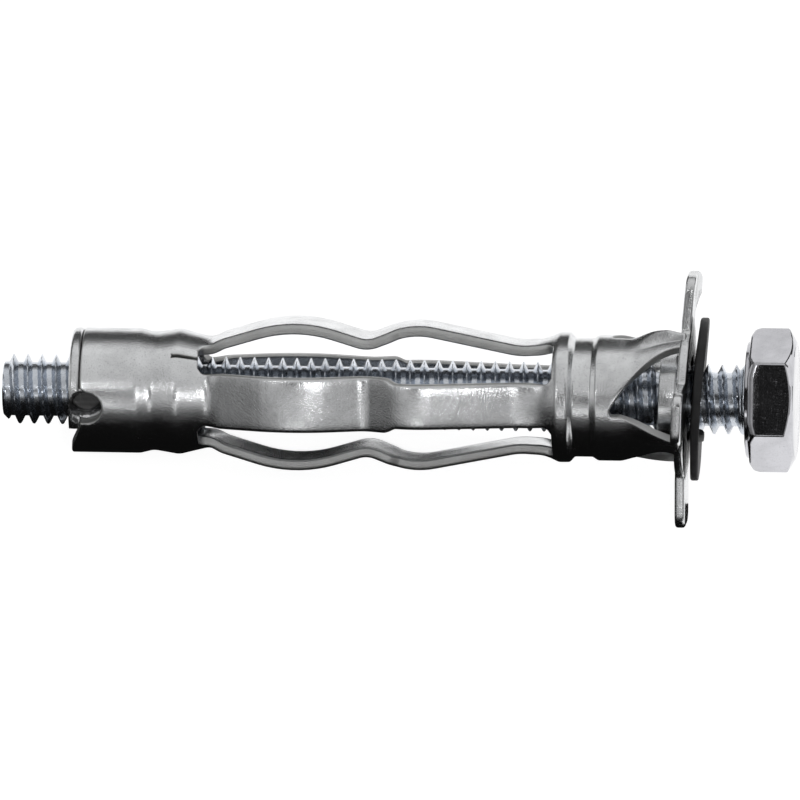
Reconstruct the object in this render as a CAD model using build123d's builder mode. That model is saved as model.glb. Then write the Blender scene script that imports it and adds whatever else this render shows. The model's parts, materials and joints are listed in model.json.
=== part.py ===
from build123d import *

import os
from math import atan, cos, radians, sin, sqrt, tan

# A hollow wall anchor: a hexagon-head screw, a folded sheet sleeve with four wavy legs and
# an eared flange, a nut crimped into the sleeve's far end, and a thin retaining washer.
#
# Each piece is made about the screw's axis, which is Z, with the head at the top. Z = 0 is
# the face of the flange that meets the wall, and a leg and an ear point along +-X and +-Y.
# At the end every piece is laid down as the anchor lies on a table: on two ears and the
# rim of the nut, with the screw's axis nearly along +X and the head at the +X end.

# Screw, millimetres throughout
THREAD_DIA = 6.25
THREAD_PITCH = 1.27
THREAD_DEPTH_RATIO = 0.6134 # depth of a 60 degree thread, in pitches
BOLT_LENGTH = 66.6          # from the bearing face of the head to the tip
HEAD_ACROSS_FLATS = 11.2
HEAD_HEIGHT = 4.4           # with its washer face
HEAD_CHAMFER_ANGLE = 30
HEAD_TOP_RADIUS = 5.15
WASHER_FACE_RADIUS = 5.2
WASHER_FACE_HEIGHT = 0.3
UNDERSIDE_CHAMFER = 0.35
HEAD_STANDOFF = 6.07        # wall face to the head's bearing face
HEAD_TURN = 10.5            # a corner of the head stands this many degrees before each ear

# Sheet of the sleeve
SHEET = 0.92
DISC_RADIUS = 6.9
EAR_WIDTH = 4.85
EAR_TIP_RADIUS = 11.5
EAR_CORNER = 1.4
PLUNGE_DEPTH = 1.7          # collar drawn round the flange's hole, towards the legs
PLUNGE_WALL = 0.88
PLUNGE_CLEARANCE = 0.33     # flange's hole over the thread

# Outer line of the sleeve from the flange to the nut's end: the run along the axis to each
# corner, the radius at that corner, and the bend radius of the sheet there.
FLANGE_ROOT_RADIUS = 6.8
FLARE_LENGTH, NECK_RADIUS, FLARE_BEND = 4.2, 5.62, 4.0
NECK_LENGTH, NECK_BEND = 3.0, 0.4
GROOVE_SIDE, GROOVE_RADIUS, GROOVE_BEND = 0.6, 5.34, 0.4
GROOVE_LENGTH = 1.5
RING_SIDE, RING_RADIUS, RING_BEND = 1.0, 5.87, 1.0
RING_TO_ROOT, FRONT_ROOT_RADIUS, FRONT_ROOT_BEND = 2.8, 4.70, 5.7
LONG_FLANK, FRONT_HUMP_RADIUS, FRONT_HUMP_BEND = 10.75, 6.85, 7.0
HUMP_TO_DIP, DIP_RADIUS, DIP_BEND = 3.95, 5.29, 2.0
DIP_TO_HUMP, REAR_HUMP_RADIUS, REAR_HUMP_BEND = 6.42, 7.24, 12.2
HUMP_TO_ROOT, REAR_ROOT_RADIUS, REAR_ROOT_BEND = 7.9, 4.60, 1.2
ROOT_TO_BULGE, BULGE_RADIUS, BULGE_BEND = 2.6, 5.66, 1.6
BULGE_TO_WAIST, WAIST_RADIUS, WAIST_BEND = 2.3, 5.18, 1.4
WAIST_TO_HOUSING, HOUSING_RADIUS, HOUSING_BEND = 1.2, 5.58, 1.6
HOUSING_LENGTH = 5.13
MIN_BEND = 0.12             # inner bend radius of the tightest corners

# Slots between the legs, and the legs' widths
SLOT_INTO_RING = 0.9        # slot's end to the corner of the ring, flange side
SLOT_PAST_ROOT = 0.7        # slot's end past the corner of the leg's root, nut side
SLOT_CORNER = 0.7
SLOT_WIDTH = 2.9
REAR_LEG_WIDTH = 5.0
FRONT_LEG_WIDTH = 4.15
LEG_STEP_FROM_HUMP = 1.3    # the leg narrows this far before its front hump
LEG_STEP_LENGTH = 0.9
LEG_COUNT = 4
ROOT_PROUD = 0.35           # a leg's end may stand this far out from its corner's radius
TRIM_OUT = 1.4              # and this far after TRIM_RISE along the leg
TRIM_RISE = 1.6

# Fin-shaped windows of the neck, one behind each ear
WINDOW_TIP = 6.1            # tip to the wall face
WINDOW_TIP_OFFSET = -0.3
WINDOW_HIGH_SIDE = 5.1
WINDOW_LOW_SIDE = 2.7
WINDOW_HIGH_BULGE = 1.0     # how far the high side bows from a straight line
WINDOW_TIP_ROUND = 0.4

# Seam slit and staking hole at the nut's end
SLIT_LENGTH = 2.5
SLIT_WIDTH = 0.25
STAKE_RADIUS = 1.5
STAKE_FROM_END = 0.55
STAKE_ANGLE = 97.5
STAKE_INTO_NUT = 0.3

# Nut
NUT_COLLAR = 0.98
NUT_SEAT_CLEARANCE = 0.02
NUT_BORE_CLEARANCE = 0.05
NUT_CHAMFER = 0.25

# Retaining washer
WASHER_RADIUS = 7.3
WASHER_THICKNESS = 0.76
WASHER_BORE_CLEARANCE = 0.08
WASHER_LEAN = 2.7           # degrees off square, towards the head on the +X side
WASHER_GAP = 0.15           # lowest point of the washer to the flange

# Worked-out sizes
shank_radius = THREAD_DIA / 2
thread_depth = THREAD_DEPTH_RATIO * THREAD_PITCH
flange_hole_radius = shank_radius + PLUNGE_CLEARANCE
tip_z = HEAD_STANDOFF - BOLT_LENGTH
housing_inner = HOUSING_RADIUS - SHEET

outline_runs = (
    (FLARE_LENGTH, NECK_RADIUS, FLARE_BEND),
    (NECK_LENGTH, NECK_RADIUS, NECK_BEND),
    (GROOVE_SIDE, GROOVE_RADIUS, GROOVE_BEND),
    (GROOVE_LENGTH, GROOVE_RADIUS, GROOVE_BEND),
    (RING_SIDE, RING_RADIUS, RING_BEND),
    (RING_TO_ROOT, FRONT_ROOT_RADIUS, FRONT_ROOT_BEND),
    (LONG_FLANK, FRONT_HUMP_RADIUS, FRONT_HUMP_BEND),
    (HUMP_TO_DIP, DIP_RADIUS, DIP_BEND),
    (DIP_TO_HUMP, REAR_HUMP_RADIUS, REAR_HUMP_BEND),
    (HUMP_TO_ROOT, REAR_ROOT_RADIUS, REAR_ROOT_BEND),
    (ROOT_TO_BULGE, BULGE_RADIUS, BULGE_BEND),
    (BULGE_TO_WAIST, WAIST_RADIUS, WAIST_BEND),
    (WAIST_TO_HOUSING, HOUSING_RADIUS, HOUSING_BEND),
)
corners = [(FLANGE_ROOT_RADIUS, 0.0)]
for run, radius, bend in outline_runs:
    corners.append((radius, corners[-1][1] - run))
bends = [bend for run, radius, bend in outline_runs]
corners.append((HOUSING_RADIUS, corners[-1][1] - HOUSING_LENGTH))

ring_z = corners[5][1]
front_hump_z = corners[7][1]
rear_root_z = corners[10][1]
sleeve_end_z = corners[-1][1]
slot_top_z = ring_z - SLOT_INTO_RING
slot_bottom_z = rear_root_z - SLOT_PAST_ROOT
slot_length = slot_top_z - slot_bottom_z
slot_middle_z = (slot_top_z + slot_bottom_z) / 2
nut_end_z = sleeve_end_z - NUT_COLLAR
leg_pitch = 360 / LEG_COUNT
stake_plane = Plane((0, 0, sleeve_end_z + STAKE_FROM_END), x_dir=(0, 0, 1),
                    z_dir=Vector(1, 0, 0).rotate(Axis.Z, STAKE_ANGLE))


def inner_line(outer_corners, outer_bends):
    """Corners and bend radii of the sheet's inner face: each run moves in by the sheet."""
    points = [Vector(radius, z) for radius, z in outer_corners]
    runs = [(b - a).normalized() for a, b in zip(points, points[1:])]
    inward = [Vector(run.Y, -run.X) for run in runs]
    inner = [points[0] + inward[0] * SHEET]
    inner_bends = []
    for i, bend in enumerate(outer_bends):
        before, after = inward[i], inward[i + 1]
        inner.append(points[i + 1] + (before + after) * (SHEET / (1 + before.dot(after))))
        turns_in = runs[i].cross(runs[i + 1]).Z < 0
        inner_bends.append(max(bend - SHEET, MIN_BEND) if turns_in else bend + SHEET)
    inner.append(points[-1] + inward[-1] * SHEET)
    return inner, inner_bends


# Section of the sheet in the XZ plane, used for the round ends and for the legs
inner_corners, inner_bends = inner_line(corners, bends)
with BuildSketch(Plane.XZ) as wall_section:
    with BuildLine():
        outer_face = FilletPolyline(*corners, radius=bends)
        inner_face = FilletPolyline(*inner_corners, radius=inner_bends)
        Line(outer_face @ 0, inner_face @ 0)
        Line(outer_face @ 1, inner_face @ 1)
    make_face()

# One leg, along +X: the section carried across the leg's width, then cut to its plan
step_z = front_hump_z - LEG_STEP_FROM_HUMP
rear_side = REAR_LEG_WIDTH / 2
front_side = FRONT_LEG_WIDTH / 2
with BuildPart() as leg:
    extrude(wall_section.sketch, amount=rear_side, dir=(0, 1, 0), both=True)
    with BuildSketch(Plane.YZ):
        with BuildLine():
            half_plan = Polyline(
                (0, slot_bottom_z),
                (rear_side, slot_bottom_z),
                (rear_side, step_z - LEG_STEP_LENGTH),
                (front_side, step_z),
                (front_side, slot_top_z),
                (0, slot_top_z),
            )
            mirror(half_plan, about=Plane.YZ)
        make_face()
    extrude(amount=EAR_TIP_RADIUS, mode=Mode.INTERSECT)
    # The roots are trimmed to the round ends, so that no corner stands proud of them.
    with BuildSketch(Plane.XZ):
        with BuildLine():
            Polyline(
                (0, slot_bottom_z),
                (REAR_ROOT_RADIUS + ROOT_PROUD, slot_bottom_z),
                (REAR_ROOT_RADIUS + TRIM_OUT, slot_bottom_z + TRIM_RISE),
                (EAR_TIP_RADIUS, slot_middle_z),
                (FRONT_ROOT_RADIUS + TRIM_OUT, slot_top_z - TRIM_RISE),
                (RING_RADIUS - ROOT_PROUD, slot_top_z),
                (0, slot_top_z),
                close=True,
            )
        make_face()
    revolve(axis=Axis.Z, mode=Mode.INTERSECT)

# One window of the neck, cut outwards along +Y: local X is across, local Y is the axis
with BuildSketch(Plane.XZ) as window:
    with BuildLine():
        tip = (WINDOW_TIP_OFFSET, -WINDOW_TIP)
        high = (WINDOW_HIGH_SIDE, 0)
        low = (-WINDOW_LOW_SIDE, 0)
        SagittaArc(tip, high, -WINDOW_HIGH_BULGE)
        Line(high, low)
        Line(low, tip)
    make_face()
    fillet(window.vertices().sort_by(Axis.Z)[0], WINDOW_TIP_ROUND)

with BuildPart() as sleeve:
    # Round ends: the section turned about the axis, less the stretch between the slots
    revolve(wall_section.sketch, axis=Axis.Z)
    with BuildSketch(Plane.XY.offset(slot_bottom_z + SLOT_CORNER)):
        Circle(EAR_TIP_RADIUS)
    extrude(amount=slot_length - 2 * SLOT_CORNER, mode=Mode.SUBTRACT)
    for i in range(LEG_COUNT):
        outwards = Vector(1, 0, 0).rotate(Axis.Z, (i + 0.5) * leg_pitch)
        with BuildSketch(Plane((0, 0, slot_middle_z), x_dir=(0, 0, 1), z_dir=outwards)):
            RectangleRounded(slot_length, SLOT_WIDTH, SLOT_CORNER)
        extrude(amount=EAR_TIP_RADIUS, mode=Mode.SUBTRACT)
        extrude(window.sketch.rotate(Axis.Z, i * leg_pitch), amount=EAR_TIP_RADIUS,
                dir=Vector(0, 1, 0).rotate(Axis.Z, i * leg_pitch), mode=Mode.SUBTRACT)
    with PolarLocations(0, LEG_COUNT):
        add(leg.part)

    # Flange: a disc with four ears, its hole drawn into a collar towards the legs
    with BuildSketch(Plane.XY) as flange:
        Circle(DISC_RADIUS)
        with PolarLocations(0, LEG_COUNT):
            Rectangle(EAR_TIP_RADIUS, EAR_WIDTH, align=(Align.MIN, Align.CENTER))
        ear_tips = [v for v in flange.vertices() if Vector(v.X, v.Y).length > EAR_TIP_RADIUS]
        fillet(ear_tips, EAR_CORNER)
    extrude(amount=SHEET)
    with BuildSketch(Plane.XY.offset(-PLUNGE_DEPTH)):
        Circle(flange_hole_radius + PLUNGE_WALL)
    extrude(amount=PLUNGE_DEPTH)
    with BuildSketch(Plane.XY.offset(-PLUNGE_DEPTH)):
        Circle(flange_hole_radius)
    extrude(amount=PLUNGE_DEPTH + SHEET, mode=Mode.SUBTRACT)

    # Seam slit from the end of one slot, and the staking hole over the nut's rim
    seam = Plane((0, 0, slot_bottom_z - SLIT_LENGTH), x_dir=(0, 0, 1),
                 z_dir=Vector(1, 0, 0).rotate(Axis.Z, leg_pitch / 2))
    with BuildSketch(seam):
        Rectangle(2 * SLIT_LENGTH, SLIT_WIDTH, align=(Align.MIN, Align.CENTER))
    extrude(amount=EAR_TIP_RADIUS, mode=Mode.SUBTRACT)
    with BuildSketch(stake_plane):
        Circle(STAKE_RADIUS)
    extrude(amount=EAR_TIP_RADIUS, mode=Mode.SUBTRACT)

# Nut: a collar against the sleeve's end, and a barrel that fills the crimped housing
barrel_line = [(p.X - NUT_SEAT_CLEARANCE, p.Y) for p in inner_corners[-5:]]
barrel_top_z = barrel_line[1][1]
nut_bore_radius = shank_radius + NUT_BORE_CLEARANCE
with BuildPart() as nut:
    with BuildSketch(Plane.XZ):
        with BuildLine():
            barrel = FilletPolyline(*barrel_line, radius=inner_bends[-3:])
            Polyline(
                barrel @ 1,
                (HOUSING_RADIUS, sleeve_end_z),
                (HOUSING_RADIUS, nut_end_z + NUT_CHAMFER),
                (HOUSING_RADIUS - NUT_CHAMFER, nut_end_z),
                (nut_bore_radius + NUT_CHAMFER, nut_end_z),
                (nut_bore_radius, nut_end_z + NUT_CHAMFER),
                (nut_bore_radius, barrel_line[0][1]),
                barrel @ 0,
            )
        make_face()
    revolve(axis=Axis.Z)
    with BuildSketch(Plane.XY.offset(barrel_top_z)):
        Circle(HOUSING_RADIUS)
    extrude(amount=barrel_line[0][1] - barrel_top_z, mode=Mode.SUBTRACT)
    with BuildSketch(stake_plane.offset(housing_inner - STAKE_INTO_NUT)):
        Circle(STAKE_RADIUS)
    extrude(amount=HOUSING_RADIUS, mode=Mode.SUBTRACT)

# Screw: a plain shank at the thread's major diameter, a washer face and a hexagon head
hex_bottom_z = HEAD_STANDOFF + WASHER_FACE_HEIGHT
head_top_z = HEAD_STANDOFF + HEAD_HEIGHT
hex_corner = HEAD_ACROSS_FLATS / sqrt(3)
chamfer_drop = (hex_corner - HEAD_TOP_RADIUS) * tan(radians(HEAD_CHAMFER_ANGLE))
with BuildPart() as hex_bolt:
    with BuildSketch(Plane.XY.offset(hex_bottom_z)):
        RegularPolygon(HEAD_ACROSS_FLATS / 2, 6, major_radius=False, rotation=-HEAD_TURN)
    extrude(amount=HEAD_HEIGHT - WASHER_FACE_HEIGHT)
    with BuildSketch(Plane.XZ):
        with BuildLine():
            Polyline(
                (0, hex_bottom_z),
                (hex_corner - UNDERSIDE_CHAMFER, hex_bottom_z),
                (hex_corner, hex_bottom_z + UNDERSIDE_CHAMFER),
                (hex_corner, head_top_z - chamfer_drop),
                (HEAD_TOP_RADIUS, head_top_z),
                (0, head_top_z),
                close=True,
            )
        make_face()
    revolve(axis=Axis.Z, mode=Mode.INTERSECT)
    with BuildSketch(Plane.XY.offset(HEAD_STANDOFF)):
        Circle(WASHER_FACE_RADIUS)
    extrude(amount=WASHER_FACE_HEIGHT)
    with BuildSketch(Plane.XY.offset(tip_z)):
        Circle(shank_radius)
    extrude(amount=BOLT_LENGTH)
    chamfer(hex_bolt.edges().sort_by(Axis.Z)[0], thread_depth)

# Retaining washer: it grips the thread a little off square
lean = radians(WASHER_LEAN)
washer_z = SHEET + WASHER_GAP + WASHER_RADIUS * sin(lean)
washer_plane = Plane((0, 0, washer_z), x_dir=(cos(lean), 0, sin(lean)),
                     z_dir=(-sin(lean), 0, cos(lean)))
with BuildPart() as retaining_washer:
    with BuildSketch(washer_plane):
        Circle(WASHER_RADIUS)
        Circle(shank_radius + WASHER_BORE_CLEARANCE, mode=Mode.SUBTRACT)
    extrude(amount=WASHER_THICKNESS)

# Laid down: two ears and the rim of the nut touch the table, so the screw's axis rises
# towards the head. Upwards is halfway between +X and +Y of the working frame.
ear_support = (EAR_TIP_RADIUS + EAR_WIDTH / 2 - 2 * EAR_CORNER) / sqrt(2) + EAR_CORNER
rim_z = nut_end_z + NUT_CHAMFER
slope = atan((ear_support - HOUSING_RADIUS) / -rim_z)
along = Vector(cos(slope), 0, sin(slope))
upwards = Vector(-sin(slope), 0, cos(slope))
sideways = Vector(0, 1, 0)
pieces = {"sleeve": sleeve, "nut": nut, "hex_bolt": hex_bolt, "retaining_washer": retaining_washer}
turned = Plane((0, 0, 0), x_dir=upwards + sideways, z_dir=along)
extent = Compound([turned.location * piece.part for piece in pieces.values()]).bounding_box()
table = Plane((-extent.center().X, 0, -extent.min.Z), x_dir=upwards + sideways, z_dir=along)

os.makedirs("parts", exist_ok=True)
for name, piece in pieces.items():
    with BuildPart() as laid:
        with Locations(table.location):
            add(piece.part)
    laid.part.label = name
    export_step(laid.part, f"parts/{name}.step")
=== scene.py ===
"""Looks of a hollow wall anchor lying on a pale table.

Every piece is worked out about the screw's own axis, in millimetres: z runs along the
screw towards its head and is 0 on the flange's wall face, and a leg and an ear point along
+-x and +-y. place() carries those points to the frame, in metres.
"""

import json
import math

import bpy
import numpy as np
from mathutils import Matrix, Vector


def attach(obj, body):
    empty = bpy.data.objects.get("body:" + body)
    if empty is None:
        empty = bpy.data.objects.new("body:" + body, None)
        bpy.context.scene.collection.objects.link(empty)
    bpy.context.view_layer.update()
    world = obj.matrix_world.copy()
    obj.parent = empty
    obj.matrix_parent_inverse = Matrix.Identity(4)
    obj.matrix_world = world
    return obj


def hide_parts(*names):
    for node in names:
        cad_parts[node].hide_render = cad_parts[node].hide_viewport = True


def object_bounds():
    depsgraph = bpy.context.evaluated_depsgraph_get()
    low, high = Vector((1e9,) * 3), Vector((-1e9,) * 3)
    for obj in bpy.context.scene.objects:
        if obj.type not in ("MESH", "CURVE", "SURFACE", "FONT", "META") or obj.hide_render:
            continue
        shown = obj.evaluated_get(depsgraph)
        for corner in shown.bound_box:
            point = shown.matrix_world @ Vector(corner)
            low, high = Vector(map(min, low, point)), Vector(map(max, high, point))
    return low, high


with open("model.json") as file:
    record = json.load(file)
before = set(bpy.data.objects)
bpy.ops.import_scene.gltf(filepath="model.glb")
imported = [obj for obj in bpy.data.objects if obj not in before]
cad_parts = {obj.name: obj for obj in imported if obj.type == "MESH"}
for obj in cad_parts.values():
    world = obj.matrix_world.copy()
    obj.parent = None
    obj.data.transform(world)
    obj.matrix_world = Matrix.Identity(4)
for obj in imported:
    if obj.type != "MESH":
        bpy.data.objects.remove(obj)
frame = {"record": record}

CAD_BOX = [list(corner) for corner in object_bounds()]
MM = 0.001

# ---------------------------------------------------------------- frame of the screw's axis
MOUNTS = {mount["name"]: mount for mount in frame["record"]["mounts"]}
WALL_FACE = np.array(MOUNTS["wall_face"]["pos_m"])
ALONG = -np.array(MOUNTS["wall_face"]["axis"])
UPWARDS = np.array([-ALONG[2], 0.0, ALONG[0]])
SIDEWAYS = np.array([0.0, 1.0, 0.0])
LEG_X = (UPWARDS + SIDEWAYS) / math.sqrt(2)
LEG_Y = np.cross(ALONG, LEG_X)
AXES = np.stack([LEG_X, LEG_Y, ALONG])


def place(points):
    """Points about the screw's axis, in millimetres, carried to the frame in metres."""
    return WALL_FACE + (points * MM) @ AXES


# ---------------------------------------------------------------- sizes, in millimetres
THREAD_RADIUS = 3.125
PITCH = 1.27
THREAD_DEPTH = 0.72
SHEET = 0.92
LEGS = 4
QUARTER = 2 * math.pi / LEGS

# Outer line of the sleeve: z and radius of each corner, and the bend radius there
SLEEVE_LINE = (
    (0.35, 6.88, 0.0),
    (-4.2, 5.62, 4.0),
    (-7.2, 5.62, 0.4),
    (-7.7, 5.3, 0.2),
    (-9.3, 5.3, 0.2),
    (-9.75, 5.8, 0.35),
    (-10.7, 5.82, 0.8),
    (-13.1, 4.70, 5.7),
    (-23.85, 6.85, 7.0),
    (-27.8, 5.29, 2.0),
    (-34.22, 7.24, 12.2),
    (-41.9, 4.92, 1.6),
    (-44.72, 5.64, 1.8),
    (-47.02, 5.27, 1.8),
    (-48.22, 5.58, 1.6),
    (-53.35, 5.58, 0.0),
)
SLOT_TOP = -11.2
SLOT_BOTTOM = -42.82
SLEEVE_END = -53.35
REAR_LEG_HALF = 2.5
FRONT_LEG_HALF = 2.075
STEP_Z = -25.6
STEP_HALF_LENGTH = 0.6
SLOT_CORNER = 0.7
WINDOW_TIP_Z = -6.1
NECK_TOP = 0.3

# The flange: a disc with four ears, and a collar drawn round its hole towards the legs
DISC_RADIUS = 6.9
EAR_HALF_WIDTH = 2.425
EAR_TIP = 11.5
EAR_CORNER = 1.4
EAR_ROOT = 0.5
FLANGE_EDGE = 0.26
HOLE_RADIUS = 3.455
HOLE_EDGE = 0.5
COLLAR_RADIUS = 4.335
COLLAR_DEPTH = 1.7
COLLAR_BEND = 0.4
COLLAR_EDGE = 0.1
FLAT_FROM = 5.2

# How the flange was knocked: the disc's lean, and the +x ear's own bend and curled corner
DISC_LEAN = math.tan(math.radians(2.4))
DISC_LEAN_FROM = -7.0
NECK_LEAN_Z = (-5.5, -0.5)
EAR_START = (7.2, 8.0)
EAR_BEND = math.tan(math.radians(3.0))
EAR_BEND_FROM = 7.5
EAR_CURL = 0.4
EAR_CURL_ACROSS = (0.9, 2.4)
EAR_CURL_ALONG = (8.2, 9.4)
EAR_SHORT = 0.06


def bent_line(corners, steps=10):
    """Corners joined by straight runs, each corner rounded by an arc of its bend radius that
    touches both runs: its centre lies on the corner's middle line, at the bend radius over
    the sine of half the corner's angle. Gives the points as an array, in order."""
    points = np.array([corner[:2] for corner in corners], float)
    line = [points[:1]]
    bends = [corner[2] for corner in corners[1:]]
    for before, here, after, bend in zip(points, points[1:], points[2:], bends):
        back = (before - here) / np.linalg.norm(before - here)
        on = (after - here) / np.linalg.norm(after - here)
        half = math.acos(np.clip(back @ on, -1, 1)) / 2
        if bend <= 0 or half > math.pi / 2 - 1e-4:
            line.append(here[None])
            continue
        centre = here + (back + on) / np.linalg.norm(back + on) * bend / math.sin(half)
        start = here + back * bend / math.tan(half) - centre
        end = here + on * bend / math.tan(half) - centre
        share = np.linspace(0, 1, steps)[:, None]
        sweep = math.pi - 2 * half
        arc = (np.sin((1 - share) * sweep) * start + np.sin(share * sweep) * end) / math.sin(sweep)
        line.append(centre + arc)
    line.append(points[-1:])
    return np.concatenate(line)


def smooth(low, high, x):
    """0 below low, 1 above high, and between them 3 t squared less 2 t cubed."""
    t = np.clip((x - low) / (high - low), 0, 1)
    return t * t * (3 - 2 * t)


SLEEVE_POINTS = bent_line(SLEEVE_LINE)[::-1]


def sleeve_radius(z):
    """Outer radius of the sleeve at z, read off its bent line."""
    return np.interp(z, SLEEVE_POINTS[:, 0], SLEEVE_POINTS[:, 1])


def lean_flange(points):
    """The flange as it was knocked. A point moves along the screw by the disc's lean times
    its x, less and less down the neck. On the +x ear it moves on by the ear's bend times its
    reach, and by a smooth curl at the far corner."""
    x, y, z = points[:, 0], points[:, 1], points[:, 2]
    shift = DISC_LEAN * np.maximum(x, DISC_LEAN_FROM) * smooth(*NECK_LEAN_Z, z)
    on_ear = smooth(*EAR_START, x)
    curl = EAR_CURL * smooth(*EAR_CURL_ACROSS, -y) * smooth(*EAR_CURL_ALONG, x)
    shift += on_ear * (EAR_BEND * np.maximum(x - EAR_BEND_FROM, 0) + curl)
    return np.stack([x - EAR_SHORT * on_ear, y, z + shift], -1)


# ---------------------------------------------------------------- mesh helpers
class Sheet:
    """Points and quads of one surface, gathered grid by grid."""

    def __init__(self):
        self.points = []
        self.quads = []
        self.count = 0

    def add_points(self, points):
        """Adds a grid of points and gives the same grid of their numbers."""
        points = np.asarray(points, float)
        numbers = self.count + np.arange(points[..., 0].size).reshape(points.shape[:-1])
        self.points.append(points.reshape(-1, 3))
        self.count += numbers.size
        return numbers

    def add_quads(self, numbers, keep=None):
        """One quad for each cell of a grid of numbers: rows go along, columns go round."""
        cells = np.stack([numbers[:-1, :-1], numbers[:-1, 1:], numbers[1:, 1:], numbers[1:, :-1]], -1)
        self.quads.append(cells.reshape(-1, 4) if keep is None else cells[keep])

    def arrays(self):
        """All the points and all the quads, as two arrays."""
        return np.concatenate(self.points), np.concatenate(self.quads)


def unit(v):
    """Vectors over their own lengths."""
    return v / np.maximum(np.linalg.norm(v, axis=-1, keepdims=True), 1e-12)


def point_normals(points, quads):
    """Unit normal at each point: the sum of its quads' cross products."""
    a, b, c, d = (points[quads[:, i]] for i in range(4))
    face = np.cross(c - a, d - b)
    total = np.zeros_like(points)
    for i in range(4):
        np.add.at(total, quads[:, i], face)
    return unit(total)


def open_edges(quads):
    """Edges used by one quad only, as (from, to) in that quad's direction."""
    edges = np.concatenate([quads[:, [i, (i + 1) % 4]] for i in range(4)])
    key = np.sort(edges, 1)
    _, first, times = np.unique(key, axis=0, return_index=True, return_counts=True)
    return edges[first[times == 1]]


INNER_EDGE = 0.15


def thicken(points, quads, thickness, rim, rim_steps=4):
    """A sheet with its cut edges: the given outer face, the inner face moved in along the
    normals by the thickness, and between them a rim that bulges by rim(point), rounded at
    its outer edge. The rim's profile is carried along every open edge."""
    normals = point_normals(points, quads)
    edges = open_edges(quads)
    edge_points = np.unique(edges)
    along = np.zeros_like(points)
    step = unit(points[edges[:, 1]] - points[edges[:, 0]])
    np.add.at(along, edges[:, 0], step)
    np.add.at(along, edges[:, 1], step)
    out = unit(np.cross(along, normals))[edge_points]
    down = -normals[edge_points]
    here = points[edge_points]
    bulge = rim(here)[:, None]
    angle = np.linspace(0, math.pi / 2, rim_steps + 1)[1:]
    rows = [here + out * bulge * math.sin(a) + down * bulge * (1 - math.cos(a)) for a in angle]
    low = np.minimum(bulge, INNER_EDGE)
    rows.append(here + out * bulge + down * (thickness - low))
    rows.append(here + out * (bulge - low) + down * thickness)
    count = len(points)
    inner = points - normals * thickness
    slot_of = np.full(count, -1)
    slot_of[edge_points] = np.arange(len(edge_points))
    all_points = [points, inner] + rows
    offset = 2 * count
    chain = [edges]
    for row in rows:
        chain.append(offset + slot_of[edges])
        offset += len(row)
    chain.append(count + edges)
    rim_quads = [np.stack([a[:, 1], a[:, 0], b[:, 0], b[:, 1]], 1) for a, b in zip(chain, chain[1:])]
    faces = np.concatenate([quads, quads[:, ::-1] + count] + rim_quads)
    on_rim = np.zeros(offset)
    on_rim[2 * count + len(edge_points):] = 1
    return np.concatenate(all_points), faces, on_rim


def make_piece(name, points, faces, body, node, material, attributes=None, sharp=40):
    """A mesh object in the frame from points about the screw's axis. It rides its body, takes
    its slot and stands for its CAD node. Edges past the sharp angle, in degrees, stay crisp."""
    mesh = bpy.data.meshes.new(name)
    mesh.from_pydata(place(points).tolist(), [], faces if isinstance(faces, list) else faces.tolist())
    mesh.validate()
    for key, values in (attributes or {}).items():
        layer = mesh.attributes.new(key, "FLOAT", "POINT")
        layer.data.foreach_set("value", np.asarray(values, np.float32))
    mesh.polygons.foreach_set("use_smooth", np.ones(len(mesh.polygons), bool))
    mesh.set_sharp_from_angle(angle=math.radians(sharp))
    mesh.materials.append(material)
    mesh.update()
    piece = bpy.data.objects.new(name, mesh)
    bpy.context.scene.collection.objects.link(piece)
    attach(piece, body)
    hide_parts(node)
    return piece


def turned(section, columns):
    """A section (radius, z) turned about the axis: the grid of points, closed round."""
    angle = np.linspace(0, 2 * math.pi, columns, endpoint=False)
    r, z = section[:, 0, None], section[:, 1, None]
    return np.stack([r * np.cos(angle), r * np.sin(angle), z + 0 * angle], -1)


def wrap(numbers):
    """Closes a grid of numbers round its columns."""
    return np.concatenate([numbers, numbers[:, :1]], 1)


# ---------------------------------------------------------------- shader helpers
class Value:
    """A socket that takes part in Python sums: each operator adds a Math node."""

    def __init__(self, maker, socket):
        self.maker = maker
        self.socket = socket

    def _math(self, operation, *others):
        return self.maker.node("ShaderNodeMath", {"operation": operation},
                               {i: other for i, other in enumerate(others)}).value()

    def __add__(self, other):
        return self._math("ADD", self, other)

    __radd__ = __add__

    def __mul__(self, other):
        return self._math("MULTIPLY", self, other)

    __rmul__ = __mul__

    def __sub__(self, other):
        return self._math("SUBTRACT", self, other)

    def __rsub__(self, other):
        return self._math("SUBTRACT", other, self)

    def clamp(self):
        """The value held between 0 and 1."""
        return self.maker.node("ShaderNodeClamp", {}, {0: self}).value()


class Made:
    """A node that has been added, with short ways to reach its outputs."""

    def __init__(self, maker, node):
        self.maker = maker
        self.node = node

    def value(self, output=0):
        """One of the node's outputs, by name or number."""
        return Value(self.maker, self.node.outputs[output])


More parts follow.
